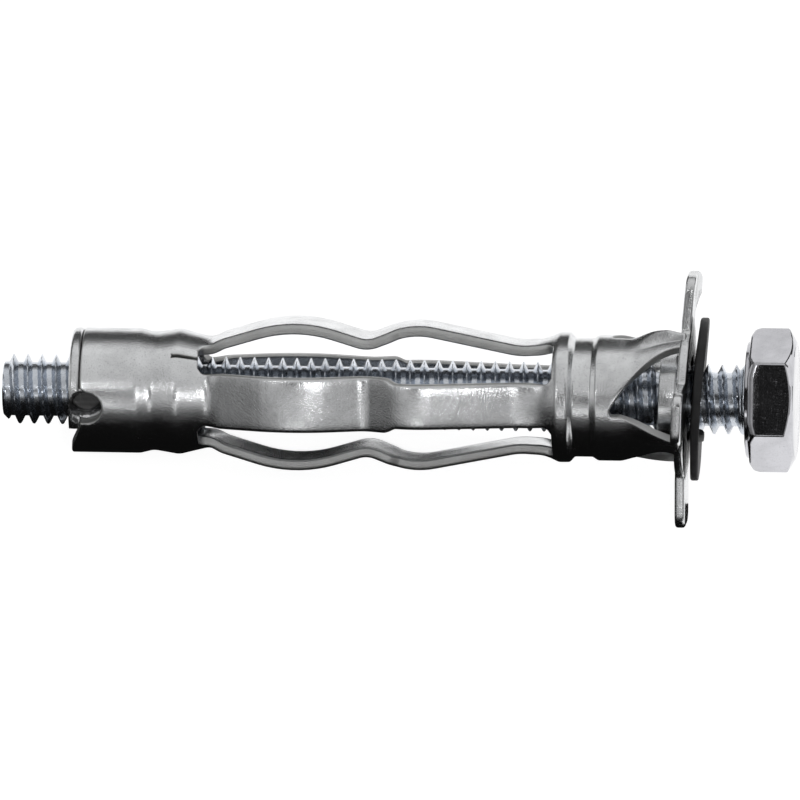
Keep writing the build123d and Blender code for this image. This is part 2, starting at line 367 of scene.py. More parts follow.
class Maker:
    """Adds nodes to one node tree: type, settings first, then socket values or links."""

    def __init__(self, tree):
        self.tree = tree
        self.tree.nodes.clear()

    def node(self, kind, settings=None, sockets=None):
        """One node. A ramp's setting "stops" is a list of (place, grey)."""
        node = self.tree.nodes.new(kind)
        settings = dict(settings or {})
        stops = settings.pop("stops", None)
        for key, setting in settings.items():
            setattr(node, key, setting)
        if stops:
            elements = node.color_ramp.elements
            while len(elements) < len(stops):
                elements.new(1.0)
            for element, (where, grey) in zip(elements, stops):
                element.position = where
                element.color = (grey, grey, grey, 1)
        for key, given in (sockets or {}).items():
            if isinstance(given, Value):
                self.tree.links.new(given.socket, node.inputs[key])
            else:
                node.inputs[key].default_value = given
        return Made(self, node)

    def ramp(self, factor, stops):
        """A grey for the factor, read between the given (place, grey) stops."""
        return self.node("ShaderNodeValToRGB", {"stops": stops}, {0: factor}).value()

    def noise(self, scale, detail=2.0, roughness=0.5, stretch=(1, 1, 1)):
        """Noise on Object coordinates, in metres; scale is in features a metre."""
        place = self.node("ShaderNodeTexCoord").value("Object")
        if stretch != (1, 1, 1):
            place = self.node("ShaderNodeMapping", {}, {"Vector": place, "Scale": stretch}).value()
        return self.node("ShaderNodeTexNoise", {}, {"Vector": place, "Scale": scale, "Detail": detail,
                                                    "Roughness": roughness}).value("Fac")

    def mix(self, factor, a, b):
        """Colour a where the factor is 0 and b where it is 1."""
        return self.node("ShaderNodeMix", {"data_type": "RGBA"}, {0: factor, 6: a, 7: b}).value(2)

    def bump(self, height, strength, distance):
        """The normal that a height in metres times the distance gives."""
        return self.node("ShaderNodeBump", {}, {"Strength": strength, "Distance": distance,
                                                "Height": height}).value("Normal")


def new_material(name):
    """An empty material and the maker of its nodes."""
    material = bpy.data.materials.new(name)
    material.use_nodes = True
    return material, Maker(material.node_tree)


def surface(maker, sockets):
    """A Principled shader with these sockets, as the material's surface."""
    shader = maker.node("ShaderNodeBsdfPrincipled", {}, sockets)
    maker.node("ShaderNodeOutputMaterial", {}, {0: shader.value()})


# Bright zinc: features a metre of its fine and coarse grain and of its clouds, the grain's
# height in metres, and the grey of its dark specks
FINE_GRAIN = 9000
COARSE_GRAIN = 4800
CLOUDS = 420
GRAIN_HEIGHT = 0.00002
SPECK_GREY = (0.3, 0.3, 0.3, 1)
CUT_EDGE_GREY = (0.4, 0.4, 0.39, 1)
# Painted shade: the near-black grey that stands for the shade in the stake dent's floor
DENT_PAINTED_SHADE_GREY = (0.07, 0.07, 0.07, 1)


def zinc(name, tint, roughness, grain, scratches=0.0, cut_edges=False, paints_dent_shade=False):
    """Bright zinc plate: a near-white metal with a sandy grain, a little uneven in gloss. Cut
    edges are duller and rougher, and a dent carries painted shade: its floor is coloured near
    black. Scratches cross at right angles."""
    material, maker = new_material(name)
    fine = maker.noise(FINE_GRAIN, 2.0, 0.6)
    coarse = maker.noise(COARSE_GRAIN, 2.0, 0.5)
    cloud = maker.noise(CLOUDS, 3.0, 0.55)
    height = fine * 0.55 + coarse * 0.5
    gloss = roughness * (1 + (fine - 0.5) * 1.1 + (cloud - 0.5) * 0.9)
    dull = tuple(0.8 * c for c in tint[:3]) + (1,)
    colour = maker.mix(maker.ramp(cloud, ((0.35, 0), (0.72, 1))), tint, dull)
    specks = maker.ramp(fine, ((0.3, 1), (0.42, 0)))
    colour = maker.mix(specks * 0.5, colour, SPECK_GREY)
    if cut_edges:
        edge = maker.node("ShaderNodeAttribute", {"attribute_name": "cut_edge"}).value("Fac")
        colour = maker.mix(edge * 0.65, colour, CUT_EDGE_GREY)
        gloss = gloss + edge * 0.2
        height = height + edge * fine * 1.5
    # Painted shade: the dent's floor is coloured near black where shade falls in it
    if paints_dent_shade:
        shade = maker.node("ShaderNodeAttribute", {"attribute_name": "shade"}).value("Fac")
        colour = maker.mix(shade, colour, DENT_PAINTED_SHADE_GREY)
        gloss = gloss + shade * 0.15
    if scratches:
        lengthwise = maker.noise(900, 3.0, 0.7, (1, 9, 9))
        upright = maker.noise(900, 3.0, 0.7, (12, 1, 1))
        height = height + (lengthwise + upright) * scratches
        marks = maker.ramp(lengthwise * upright, ((0.3, 0), (0.42, 1)))
        gloss = gloss + marks * 0.1
    surface(maker, {"Base Color": colour, "Metallic": 1.0, "Roughness": gloss.clamp(),
                    "Normal": maker.bump(height, grain, GRAIN_HEIGHT)})
    return material


SKIN_HEIGHT = 0.00003
RUBBER_BLACK = (0.012, 0.012, 0.013, 1)
RUBBER_BLOOM = (0.028, 0.028, 0.029, 1)


def rubber(name):
    """Near-black rubber with a faint bloom and a fine matt skin."""
    material, maker = new_material(name)
    skin = maker.noise(3800, 3.0, 0.6)
    bloom = maker.noise(500, 2.0, 0.5)
    colour = maker.mix(maker.ramp(bloom, ((0.4, 0), (0.75, 1))), RUBBER_BLACK, RUBBER_BLOOM)
    surface(maker, {"Base Color": colour, "Roughness": (0.55 + (skin - 0.5) * 0.2).clamp(),
                    "Specular IOR Level": 0.4, "Normal": maker.bump(skin, 0.25, SKIN_HEIGHT)})
    return material


SLEEVE_ZINC = zinc("sleeve_zinc", (0.80, 0.81, 0.82, 1), 0.2, 1.1, cut_edges=True)
SCREW_ZINC = zinc("screw_zinc", (0.70, 0.74, 0.80, 1), 0.24, 0.14)
# Painted shade: the head's zinc is a darker grey than the screw's, so its facets reflect less light
HEAD_ZINC_PAINTED_DARKER = zinc("head_zinc_painted_darker", (0.60, 0.60, 0.63, 1), 0.11, 0.16, scratches=0.8)
NUT_ZINC = zinc("nut_zinc", (0.78, 0.79, 0.80, 1), 0.2, 1.0, paints_dent_shade=True)
WASHER_RUBBER = rubber("washer_rubber")


# ---------------------------------------------------------------- sleeve
RIM_LEG = 0.34
RIM_NECK = 0.16
RIM_FADE = (0.8, 1.2)
LEG_CELLS = 12
SLOT_CELLS = 6
LEG_FLATTENS = 2.2
LEG_CROWN = 0.05
SLIT_HALF = 0.12
SLIT_LENGTH = 2.5
SLIT_RADIUS = 5.0

# The windows: their tip's radius, where their sides start, and how far these run
TIP_RADIUS = 0.45
SIDE_START = 0.3
HIGH_RUN = 5.7
HIGH_BOW = 0.88
LOW_RUN = 2.4

# The stake mark, and the sleeve's end edge: its gap to the nut's collar and its droop
HOUSING_RADIUS = 5.58
STAKE_RADIUS = 1.5
STAKE_Z = -52.8
STAKE_ANGLE = math.radians(97.5)
STAKE_MOUTH = 1.08
END_GAP = 0.07
END_DROOP = 1.05
DROOP_ROUND = (0.35, 1.0)

# Rows of the grids, and the z where the rear columns are even and where they suit the legs
END_ROWS = 22
HOUSING_ROWS = 44
FRONT_ROWS = 60
LEG_ROWS = 150
ROOT_ROWS = 10
STRIP_ROWS = 40
TIP_ROWS = 9
EVEN_Z = -48.6
LEGS_READY_Z = -45.6
TURN_FROM_Z = -9.0
RIM_TURNS_IN = 0.3

# How far each neck strip's low edge is lifted into a lip, and over which z it rises and sinks
LIP_LIFTS = (0.7, 0.35, 0.12, 0.3)
LIP_RISES = (-4.8, -1.9)
LIP_SINKS = (-1.3, 0.3)
LIP_WIDTH = 0.5


def rim_bulge(points):
    """How far the cut edge stands out of the outer face's grid: more on the legs."""
    z = points[:, 2]
    outside, inside = RIM_FADE
    past_bottom = smooth(SLOT_BOTTOM - outside, SLOT_BOTTOM + inside, z)
    on_leg = past_bottom * (1 - smooth(SLOT_TOP - inside, SLOT_TOP + outside, z))
    return RIM_NECK + (RIM_LEG - RIM_NECK) * on_leg


def leg_half_width(z):
    """Half the width of a leg at z: two widths with a short slope between, and quarter
    circles of the slot's corner radius at both ends."""
    flat = REAR_LEG_HALF + (FRONT_LEG_HALF - REAR_LEG_HALF) * smooth(
        STEP_Z - STEP_HALF_LENGTH, STEP_Z + STEP_HALF_LENGTH, z)
    near = np.minimum(z - SLOT_BOTTOM, SLOT_TOP - z)
    into = np.clip(SLOT_CORNER - near, 0, SLOT_CORNER)
    return flat + SLOT_CORNER - np.sqrt(SLOT_CORNER ** 2 - into ** 2)


def leg_points(z, share):
    """A leg along +x at rows z and columns share, -1 to 1 of its half width. At both roots
    it goes round the axis, as radius times cosine and sine of the width over the radius, and
    between them it blends into a flat, lower by its crown at the edges."""
    rim = rim_bulge(np.stack([z, z, z], -1))
    across = (leg_half_width(z) - rim)[:, None] * share[None]
    r = sleeve_radius(z)[:, None]
    near = np.minimum(z - SLOT_BOTTOM, SLOT_TOP - z)[:, None]
    flatness = smooth(0.0, LEG_FLATTENS, near)
    x = (1 - flatness) * r * np.cos(across / r) + flatness * r
    y = (1 - flatness) * r * np.sin(across / r) + flatness * across
    x = x - LEG_CROWN * share ** 4 * flatness
    return np.stack([x, y, z[:, None] + 0 * across], -1)


def turn(points, angle):
    """Points turned about the screw's axis by an angle."""
    c, s = math.cos(angle), math.sin(angle)
    return np.stack([c * points[..., 0] - s * points[..., 1], s * points[..., 0] + c * points[..., 1],
                     points[..., 2]], -1)


def window_sides(z):
    """Angles of a window's high and low side from its ear's direction, at z. The low side
    is straight, the high side adds a parabola, and both start from a round tip."""
    down = np.clip(z - WINDOW_TIP_Z, 0, None)
    run = -WINDOW_TIP_Z
    share = down / run
    high = -SIDE_START + HIGH_RUN * (share + HIGH_BOW * share * (1 - share))
    low = SIDE_START + LOW_RUN * share
    round_tip = np.sqrt(np.clip(2 * TIP_RADIUS * down - down ** 2, 0, None))
    open_tip = np.where(down < TIP_RADIUS, round_tip, TIP_RADIUS)
    high = np.maximum(high, open_tip - SIDE_START)
    low = np.maximum(low, open_tip + SIDE_START)
    r = sleeve_radius(z)
    return np.arcsin(np.clip(high / r, -1, 1)), np.arcsin(np.clip(low / r, -1, 1))


def sleeve_mesh():
    """The sheet from the nut's end to the flange: full rings with a grid of columns, four
    legs that share the rings' end columns, and four strips between the neck's windows."""
    sheet = Sheet()
    leg_share = np.linspace(-1, 1, LEG_CELLS + 1)
    rear_leg_angle = (REAR_LEG_HALF + SLOT_CORNER - RIM_NECK) / sleeve_radius(SLOT_BOTTOM)
    front_leg_angle = (FRONT_LEG_HALF + SLOT_CORNER - RIM_NECK) / sleeve_radius(SLOT_TOP)

    def quarter_angles(leg_angle):
        """Column angles of one quarter, from the leg's middle: leg, then half the slot on
        each side. The slot's last column lies on the quarter's border."""
        slit = (SLIT_HALF + RIM_NECK) / SLIT_RADIUS
        half_slot = np.linspace(leg_angle, QUARTER / 2 - slit, SLOT_CELLS)[1:]
        side = np.concatenate([half_slot, [QUARTER / 2]])
        return np.concatenate([leg_share * leg_angle, side]), side

    def ring_angles(leg_angle):
        """Column angles of a whole ring, one quarter after another."""
        leg_part, side = quarter_angles(leg_angle)
        one = np.concatenate([-side[::-1][1:], leg_part])
        return np.concatenate([one + k * QUARTER for k in range(LEGS)])

    per_quarter = LEG_CELLS + 1 + 2 * SLOT_CELLS - 1
    columns = per_quarter * LEGS

    def ring(z, angles, lift=0.0):
        """Points at the sleeve's radius, and a lift beyond it, at these angles."""
        r = sleeve_radius(z) + lift
        return np.stack([r * np.cos(angles), r * np.sin(angles), z + 0 * angles], -1)

    # Rear rings, from the nut's end to the slots. The stake hole bites into the end edge.
    rear = ring_angles(rear_leg_angle)
    even = np.linspace(0, 2 * math.pi, columns, endpoint=False) + rear[0]
    end_angle, end_z = stake_edge(even)
    rows_a = np.linspace(0, 1, END_ROWS)[:, None]
    z_a = end_z[None] * (1 - rows_a) + EVEN_Z * rows_a
    angle_a = end_angle[None] * (1 - rows_a) + even[None] * rows_a
    z_b = np.linspace(EVEN_Z, SLOT_BOTTOM - RIM_NECK, HOUSING_ROWS)[1:, None] + 0 * rear[None]
    blend = smooth(EVEN_Z, LEGS_READY_Z, z_b)
    angle_b = even[None] * (1 - blend) + rear[None] * blend
    z_all = np.concatenate([z_a, z_b])
    rear_grid = sheet.add_points(ring(z_all, np.concatenate([angle_a, angle_b])))
    slit_row = int(np.argmin(np.abs(z_all[:, 0] - (SLOT_BOTTOM - SLIT_LENGTH))))
    closed = wrap(rear_grid)
    keep = np.ones((closed.shape[0] - 1, columns), bool)
    # The border between the first and the second leg is the seam with the slit.
    border = per_quarter - 1
    keep[slit_row:, [border - 1, border]] = False
    sheet.add_quads(closed, keep)

    # Front rings, from the slots to the windows' tips, turned a little to meet the tips
    front = ring_angles(front_leg_angle)
    z_f = np.linspace(SLOT_TOP + RIM_NECK, WINDOW_TIP_Z, FRONT_ROWS)
    tip_turn = float(window_sides(np.array([WINDOW_TIP_Z]))[1][0])
    turn_share = smooth(TURN_FROM_Z, WINDOW_TIP_Z, z_f)[:, None]
    front_grid = sheet.add_points(ring(z_f[:, None] + 0 * front, front + tip_turn * turn_share))
    sheet.add_quads(wrap(front_grid))

    # Legs
    root_start, root_end = 0.1, 1.3
    root = root_start + 1.2 * np.linspace(0, 1, ROOT_ROWS)[:-1] ** 1.5
    z_leg = np.concatenate([
        SLOT_BOTTOM + root,
        np.linspace(SLOT_BOTTOM + root_end, SLOT_TOP - root_end, LEG_ROWS),
        SLOT_TOP - root[::-1],
    ])
    first = SLOT_CELLS - 1
    for k in range(LEGS):
        leg_columns = slice(k * per_quarter + first, k * per_quarter + first + LEG_CELLS + 1)
        body = sheet.add_points(turn(leg_points(z_leg, leg_share), k * QUARTER))
        sheet.add_quads(np.concatenate([rear_grid[-1:, leg_columns], body, front_grid[:1, leg_columns]]))

    # Strips of the neck, from the windows' tips to the flange
    tip_sweep = np.linspace(0, math.pi / 2, TIP_ROWS)[1:]
    down = np.concatenate([TIP_RADIUS * (1 - np.cos(tip_sweep)),
                           np.linspace(TIP_RADIUS, NECK_TOP - WINDOW_TIP_Z, STRIP_ROWS)[1:]])
    z_s = WINDOW_TIP_Z + down
    high, low = window_sides(z_s)
    rim_turn = RIM_NECK / sleeve_radius(z_s) * smooth(0, RIM_TURNS_IN, down)
    tip_column = first + LEG_CELLS // 2
    for k in range(LEGS):
        picks = np.arange(per_quarter + 1) + k * per_quarter + tip_column
        numbers = front_grid[-1, picks % columns]
        ring_share = (np.concatenate([front, front + 2 * math.pi])[picks] - k * QUARTER) / QUARTER
        begin = k * QUARTER + low + rim_turn
        finish = (k + 1) * QUARTER - high - rim_turn
        angles = begin[:, None] * (1 - ring_share) + finish[:, None] * ring_share
        lift = LIP_LIFTS[k] * smooth(*LIP_RISES, z_s)[:, None] * (1 - smooth(0.0, LIP_WIDTH, ring_share))
        lift = lift * (1 - 0.5 * smooth(*LIP_SINKS, z_s)[:, None])
        body = sheet.add_points(ring(z_s[:, None] + 0 * angles, angles, lift))
        sheet.add_quads(np.concatenate([numbers[None], body]))
    return sheet.arrays()


def stake_edge(even):
    """Angle and z of the sleeve's end edge for each column: level with a droop at the bottom,
    but round the stake mark it follows the mark's circle, which bites in from the end."""
    reach = STAKE_RADIUS + RIM_NECK
    edge_z = SLEEVE_END + RIM_NECK
    depth = STAKE_Z - edge_z
    opening = math.acos(-depth / reach) if abs(depth) < reach else math.pi
    half = reach * STAKE_MOUTH / HOUSING_RADIUS
    away = (even - STAKE_ANGLE + math.pi) % (2 * math.pi) - math.pi
    angle, z = even.copy(), edge_z + END_GAP - END_DROOP * smooth(*DROOP_ROUND, -np.cos(even))
    inside = np.abs(away) < half
    sweep = away[inside] / half * opening
    angle[inside] = (even - away)[inside] + reach * np.sin(sweep) / HOUSING_RADIUS
    z[inside] = STAKE_Z + reach * np.cos(sweep)
    return angle, z


def outline_of_flange(count):
    """Outline of the disc with its four ears: straight ear sides and tips joined by arcs,
    closed. The same quarter is turned four times."""
    side, corner, root = EAR_HALF_WIDTH, EAR_CORNER, EAR_ROOT
    meet = math.sqrt((DISC_RADIUS + root) ** 2 - (side + root) ** 2)
    quarter_turn = np.linspace(0, math.pi / 2, 8)
    root_angle = math.atan2(side + root, meet)
    back = np.linspace(math.pi + root_angle, 1.5 * math.pi, 6)
    corner_arc = corner * np.stack([np.cos(quarter_turn), np.sin(quarter_turn)], -1)
    root_arc = root * np.stack([np.cos(back[::-1]), np.sin(back[::-1])], -1)
    ear_top = np.concatenate([
        corner_arc + [EAR_TIP - corner, side - corner],
        root_arc + [meet, side + root],
    ])
    disc_angle = np.linspace(root_angle, QUARTER / 2, 8)[1:]
    disc_part = DISC_RADIUS * np.stack([np.cos(disc_angle), np.sin(disc_angle)], -1)
    half = np.concatenate([ear_top, disc_part])
    quarter = np.concatenate([half[::-1][:-1] * [1, -1], half])
    points = []
    for k in range(LEGS):
        c, s = math.cos(k * QUARTER), math.sin(k * QUARTER)
        points.append(quarter @ np.array([[c, s], [-s, c]]))
    points = np.concatenate(points)
    keep = np.linalg.norm(points - np.roll(points, 1, 0), axis=1) > 1e-6
    points = points[keep]
    closed = np.concatenate([points, points[:1]])
    run = np.concatenate([[0], np.cumsum(np.linalg.norm(np.diff(closed, axis=0), axis=1))])
    at = np.linspace(0, run[-1], count, endpoint=False)
    return np.stack([np.interp(at, run, closed[:, i]) for i in range(2)], -1)


FLANGE_COLUMNS = 480
FLANGE_CUT_SHARE = 0.15


def flange_mesh():
    """The flange: its section runs from the hole's drawn collar over the head side to the
    outline and back under it, and each station is carried round the outline."""
    count = FLANGE_COLUMNS
    edge = FLANGE_EDGE
    outline = outline_of_flange(count)
    normal = unit(np.roll(outline, -1, 0) - np.roll(outline, 1, 0))
    normal = np.stack([normal[:, 1], -normal[:, 0]], -1)
    angle = np.arctan2(outline[:, 1], outline[:, 0])
    circle = np.stack([np.cos(angle), np.sin(angle)], -1)
    rows = []

    def circle_row(radius, z):
        """A level ring of one radius."""
        rows.append(np.concatenate([circle * radius, np.full((count, 1), z)], 1))

    def outline_row(inset, z):
        """The outline drawn in along its normals, at z."""
        rows.append(np.concatenate([outline - normal * inset, np.full((count, 1), z)], 1))

    def between(share, inset, z):
        """A share of the way from the flat's inner ring to the outline drawn in, at z."""
        flat = circle * FLAT_FROM * (1 - share) + (outline - normal * inset) * share
        rows.append(np.concatenate([flat, np.full((count, 1), z)], 1))

    arc = np.linspace(0, math.pi / 2, 5)
    circle_row(HOLE_RADIUS, COLLAR_EDGE - COLLAR_DEPTH)
    for a in arc:
        circle_row(HOLE_RADIUS + HOLE_EDGE * (1 - math.cos(a)), SHEET - HOLE_EDGE * (1 - math.sin(a)))
    circle_row(FLAT_FROM, SHEET)
    for share in (0.3, 0.6, 0.85):
        between(share, edge, SHEET)
    for a in arc:
        outline_row(edge * (1 - math.sin(a)), SHEET - edge * (1 - math.cos(a)))
    for a in arc:
        outline_row(edge * (1 - math.cos(a)), edge * (1 - math.sin(a)))
    for share in (0.85, 0.6, 0.3):
        between(share, edge, 0.0)
    circle_row(FLAT_FROM, 0.0)
    for a in arc:
        circle_row(COLLAR_RADIUS + COLLAR_BEND * (1 - math.sin(a)), -COLLAR_BEND * (1 - math.cos(a)))
    circle_row(COLLAR_RADIUS, COLLAR_EDGE - COLLAR_DEPTH)
    circle_row(COLLAR_RADIUS - COLLAR_EDGE, -COLLAR_DEPTH)
    circle_row(HOLE_RADIUS + COLLAR_EDGE, -COLLAR_DEPTH)
    points = np.stack(rows)
    sheet = Sheet()
    numbers = wrap(sheet.add_points(points))
    sheet.add_quads(np.concatenate([numbers, numbers[:1]]))
    between_faces = np.abs(points[..., 2] - SHEET / 2) < SHEET / 2 - 0.02
    on_edge = between_faces & (np.hypot(points[..., 0], points[..., 1]) > FLAT_FROM + 0.8)
    return sheet.arrays() + (on_edge.reshape(-1).astype(float),)


def build_sleeve():
    """The thickened tube and the flange, as two closed shells that lap in the neck's end."""
    points, quads = sleeve_mesh()
    points, faces, on_rim = thicken(points, quads, SHEET, rim_bulge)
    flange_points, flange_quads, flange_cut = flange_mesh()
    faces = np.concatenate([faces, flange_quads + len(points)])
    cut = np.concatenate([on_rim, flange_cut * FLANGE_CUT_SHARE])
    points = lean_flange(np.concatenate([points, flange_points]))
    return make_piece("sleeve_sheet", points, faces, "anchor", "sleeve",
                      SLEEVE_ZINC, {"cut_edge": cut})


# ---------------------------------------------------------------- screw
HEAD_Z = 6.07
TIP_Z = HEAD_Z - 66.598
TIP_CHAMFER = 0.78
ROOT_FLAT = 0.38
CREST_FLAT = 0.94
RUNOUT = (0.9, 0.2)
THREAD_COLUMNS = 64
THREAD_ROWS = 1040


def thread_radius(z, angle, major, depth):
    """Radius of a right-hand thread. The phase is z over the pitch less the share of a turn;
    from the root's flat to the crest's flat the radius rises in a straight line with it."""
    phase = (z / PITCH - angle / (2 * math.pi)) % 1.0
    off_root = np.abs(phase - 0.5) * 2
    ramp = np.clip((off_root - ROOT_FLAT) / (CREST_FLAT - ROOT_FLAT), 0, 1)
    return major - depth * (1 - ramp)


def fans(numbers, count):
    """Triangles that close a grid's first and last ring at two points, numbered from count."""
    first, last = numbers[0], numbers[-1]
    low, high = np.full(len(first) - 1, count), np.full(len(last) - 1, count + 1)
    low_fan = np.stack([low, first[1:], first[:-1]], 1)
    high_fan = np.stack([high, last[:-1], last[1:]], 1)
    return np.concatenate([low_fan, high_fan])


def build_screw():
    """The thread's radius on a grid of z and angle, down to a chamfer at the tip, with the
    thread running out under the head."""
    z = np.linspace(TIP_Z, HEAD_Z, THREAD_ROWS)[:, None]
    angle = np.linspace(0, 2 * math.pi, THREAD_COLUMNS, endpoint=False)[None]
    runout = 1 - smooth(HEAD_Z - RUNOUT[0], HEAD_Z - RUNOUT[1], z)
    r = thread_radius(z, angle, THREAD_RADIUS, THREAD_DEPTH * runout)
    r = np.minimum(r, THREAD_RADIUS - TIP_CHAMFER + (z - TIP_Z))
    shank = np.stack([r * np.cos(angle), r * np.sin(angle), z + 0 * angle], -1)
    sheet = Sheet()
    numbers = wrap(sheet.add_points(shank))
    sheet.add_quads(numbers)
    points, quads = sheet.arrays()
    faces = quads.tolist() + fans(numbers, len(points)).tolist()
    points = np.concatenate([points, [[0, 0, TIP_Z], [0, 0, HEAD_Z]]])
    return make_piece("screw_thread", points, faces, "screw", "hex_bolt",
                      SCREW_ZINC, sharp=30)


FLATS = 11.2
HEAD_TOP = 10.47
WASHER_FACE = 0.3
WASHER_FACE_RADIUS = 5.2
TOP_RADIUS = 5.15
HEAD_CHAMFER = math.tan(math.radians(30))
HEAD_CORNER = 0.25
HEAD_TURN = math.radians(19.5)
SIDE_POINTS = 24
# The underside's rounding: shares of the outline and heights over its edge
UNDERSIDE = ((0.962, 0.0), (0.972, 0.06), (0.988, 0.3), (1.0, 0.62))
TOP_EDGE = 0.08


def hexagon():
    """A hexagon's outline: straight sides joined by arcs of the corner's radius, turned."""
    inner = FLATS / 2 - HEAD_CORNER
    reach = inner * math.tan(math.pi / 6)
    t = np.linspace(-reach, reach, SIDE_POINTS)[:, None]
    parts = []
    for middle in np.arange(6) * math.pi / 3:
        tangent = np.array([-math.sin(middle), math.cos(middle)])
        normal = np.array([math.cos(middle), math.sin(middle)])
        a = np.linspace(middle, middle + math.pi / 3, 6)[1:-1]
        parts.append(normal * FLATS / 2 + t * tangent)
        parts.append(normal * inner + reach * tangent + HEAD_CORNER * np.stack([np.cos(a), np.sin(a)], -1))
    c, s = math.cos(HEAD_TURN), math.sin(HEAD_TURN)
    return np.concatenate(parts) @ np.array([[c, s], [-s, c]])


def build_head():
    """The hexagon head on its washer face: each row is the hexagon's outline, drawn in at
    the underside's rounding and dropped where the 30 degree chamfer cuts it."""
    outline = hexagon()
    radius = np.linalg.norm(outline, axis=1)
    circle = outline / radius[:, None]
    low = HEAD_Z + WASHER_FACE
    top_edge = HEAD_TOP - (radius - TOP_RADIUS) * HEAD_CHAMFER
    across_corners = FLATS / 2 / math.cos(math.pi / 6)
    bottom_edge = low + np.clip(radius - (across_corners - 0.5), 0, None) * 0.6
    rows = []

    def row(flat, z):
        """A ring of (x, y) points at one z or at a z each."""
        z = np.broadcast_to(np.asarray(z, float).reshape(-1, 1), (len(flat), 1))
        rows.append(np.concatenate([flat, z], 1))

    row(circle * 1.5, HEAD_Z)
    row(circle * (WASHER_FACE_RADIUS - TOP_EDGE), HEAD_Z)
    row(circle * WASHER_FACE_RADIUS, HEAD_Z + TOP_EDGE)
    row(circle * WASHER_FACE_RADIUS, low - 0.02)
    row(circle * (WASHER_FACE_RADIUS + 0.05), low)
    for share, rise in UNDERSIDE:
        row(outline * share, bottom_edge + rise)
    side_start, side_end = bottom_edge + UNDERSIDE[-1][1], top_edge - TOP_EDGE
    for share in (0.25, 0.5, 0.75, 1.0):
        row(outline, side_start * (1 - share) + side_end * share)
    row(outline * 0.99, top_edge + 0.02)
    for share in (0.35, 0.7):
        flat = outline * 0.99 * (1 - share) + circle * TOP_RADIUS * share
        row(flat, HEAD_TOP - (np.linalg.norm(flat, axis=1) - TOP_RADIUS) * HEAD_CHAMFER)
    row(circle * (TOP_RADIUS + 0.1), HEAD_TOP - 0.04)
    row(circle * (TOP_RADIUS - 0.1), HEAD_TOP)
    row(circle * 2.5, HEAD_TOP)
    sheet = Sheet()
    numbers = wrap(sheet.add_points(np.stack(rows)))
    sheet.add_quads(numbers)
    points, quads = sheet.arrays()
    faces = quads.tolist() + fans(numbers, len(points)).tolist()
    points = np.concatenate([points, [[0, 0, HEAD_Z], [0, 0, HEAD_TOP]]])
    return make_piece("screw_head", points, faces, "screw", "hex_bolt", HEAD_ZINC_PAINTED_DARKER, sharp=28)


# ---------------------------------------------------------------- nut and washer
NUT_SECTION = (
    (-44.72, 3.2, 0),
    (-44.72, 4.55, 0.2),
    (-47.0, 4.28, 1.5),
    (-48.3, 4.63, 1.0),
    (-53.36, 4.63, 0.02),
    (-53.36, 5.56, 0.3),
    (-54.33, 5.56, 0.35),
    (-54.33, 3.4, 0.2),
    (-54.1, 3.2, 0),
)
NUT_RADIUS = 5.56
NUT_COLUMNS = 300
NUT_ROW_STEP = 0.14
LEAST_RADIUS = 3.5
COLLAR_FLAT = 2.7
MARK_RADIUS = 5.1
MARK_DEPTH = 1.15

WASHER_SECTION = (
    (0.1, 3.2, 0),
    (0.0, 3.35, 0.05),
    (0.0, 7.28, 0.2),
    (0.76, 7.28, 0.2),
    (0.76, 4.1, 0.05),
    (0.76, 3.95, 0),
    (0.76, 3.75, 0),
    (0.76, 3.3, 0),
    (0.66, 3.2, 0),
)
WASHER_COLUMNS = 128
WASHER_Z = 1.02
WASHER_LEAN_X = math.tan(math.radians(3.5))
WASHER_BOW_X = 0.0075
WASHER_LEAN_Y = math.tan(math.radians(4.6))
LIP_ANGLE = math.radians(168)
LIP_HEIGHT = 0.5


def angle_from(angle, middle):
    """An angle less a middle one, between minus and plus half a turn."""
    return (angle - middle + math.pi) % (2 * math.pi) - math.pi


def build_nut():
    """The nut's section turned about the axis. Its collar has a flat at the bottom, and the
    stake mark is a round dent: radii inside its circle are drawn in by a smooth step, which
    is wider on the mark's low side. The dent's deep floor is marked for painted shade."""
    section = bent_line(NUT_SECTION, 6)[:, ::-1]
    run = np.concatenate([[0], np.cumsum(np.linalg.norm(np.diff(section, axis=0), axis=1))])
    at = np.unique(np.round(np.concatenate([run, np.arange(0, run[-1], NUT_ROW_STEP)]), 4))
    section = np.stack([np.interp(at, run, section[:, i]) for i in range(2)], -1)
    points = turned(section, NUT_COLUMNS)
    radius = np.linalg.norm(points[..., :2], axis=-1)
    angle = np.arctan2(points[..., 1], points[..., 0])
    # Rows at one height stay this much apart where they are drawn in
    sliver = 0.02 * (NUT_RADIUS - radius)
    flat = np.maximum(COLLAR_FLAT / np.maximum(-np.cos(angle), 0.05), LEAST_RADIUS)
    on_collar = points[..., 2] < SLEEVE_END + 0.005
    kept = np.where(on_collar, np.minimum(radius, flat - sliver), radius)
    away = angle_from(angle, STAKE_ANGLE) * MARK_RADIUS
    from_mark = np.hypot(away, points[..., 2] - STAKE_Z)
    wall = 0.25 + 0.6 * smooth(-0.1, 1.1, away)
    depth = MARK_DEPTH * (1 - smooth(STAKE_RADIUS - wall, STAKE_RADIUS + 0.02, from_mark))
    floor = HOUSING_RADIUS - SHEET - depth + 0.35 * smooth(-0.2, 0.9, away)
    outside = radius > LEAST_RADIUS + 0.1
    drawn_in = np.minimum(kept, np.maximum(floor, LEAST_RADIUS) - sliver)
    kept = np.where((depth > 0) & outside, drawn_in, kept)
    # Painted shade: a mask of the dent's deep floor, which the nut's material colours near black
    shade = (smooth(0.7, 1.0, depth / MARK_DEPTH) * outside).reshape(-1)
    points = np.concatenate([points[..., :2] * (kept / radius)[..., None], points[..., 2:]], -1)
    sheet = Sheet()
    numbers = wrap(sheet.add_points(points))
    sheet.add_quads(np.concatenate([numbers, numbers[:1]])[::-1])
    points, quads = sheet.arrays()
    return make_piece("nut_body", points, quads, "anchor", "nut", NUT_ZINC, {"shade": shade})


